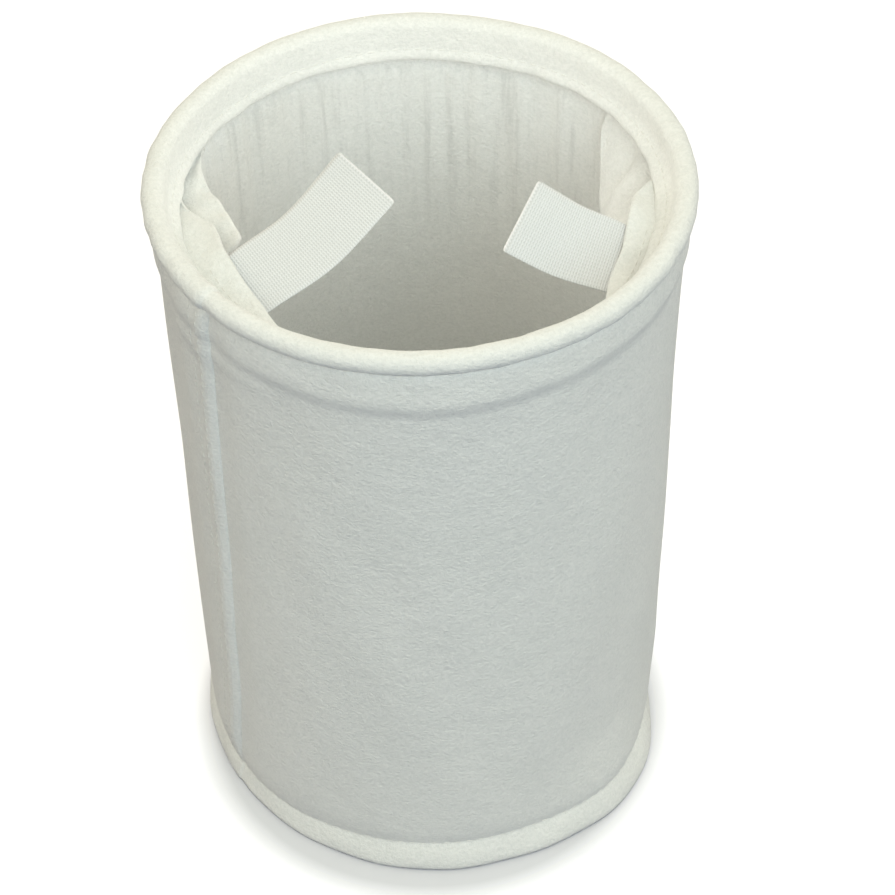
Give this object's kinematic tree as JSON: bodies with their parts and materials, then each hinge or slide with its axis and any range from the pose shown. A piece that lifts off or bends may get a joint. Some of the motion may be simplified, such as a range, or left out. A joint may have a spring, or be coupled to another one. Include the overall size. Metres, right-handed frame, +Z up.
{
  "type": "dust collector filter bag",
  "caption": "Open-topped round felt filter bag with a wire-stiffened rolled rim, a lapped side seam, a sewn-in base and inside pull handles.",
  "frame": {"origin": "middle of the base on the ground", "axes": "+Z up along the bag's axis; the side seam is at azimuth 212 degrees from +X, and the handles are at azimuths 215 and 339 degrees"},
  "size_m": [0.186, 0.186, 0.2826],
  "materials": {
    "felt": "needle-punched off-white felt",
    "webbing": "woven white webbing",
    "thread": "white sewing thread",
    "steel": "bright wire"
  },
  "bodies": {
    "bag": {"felt_sleeve": "felt", "steel_ring": "steel", "bottom_disc": "felt", "rim_seam_thread": "thread", "bottom_seam_thread": "thread", "side_seam_thread": "thread", "left_handle_root": "webbing", "right_handle_root": "webbing", "left_patch": "felt", "left_backing": "felt", "right_patch": "felt", "right_backing": "felt", "left_handle_thread": "thread", "right_handle_thread": "thread"},
    "left_handle": {"left_handle": "webbing"},
    "right_handle": {"right_handle": "webbing"}
  },
  "joints": [
    {"name": "left_handle_bend", "type": "hinge", "parent": "bag", "child": "left_handle", "pos_m": [-0.05455, -0.03891, 0.257], "axis": [0.5658, -0.7932, -0.225], "range_deg": [-94, 54]},
    {"name": "right_handle_bend", "type": "hinge", "parent": "bag", "child": "right_handle", "pos_m": [0.06238, -0.02445, 0.253], "axis": [0.3333, 0.8506, 0.4067], "range_deg": [-94, 54]}
  ]
}
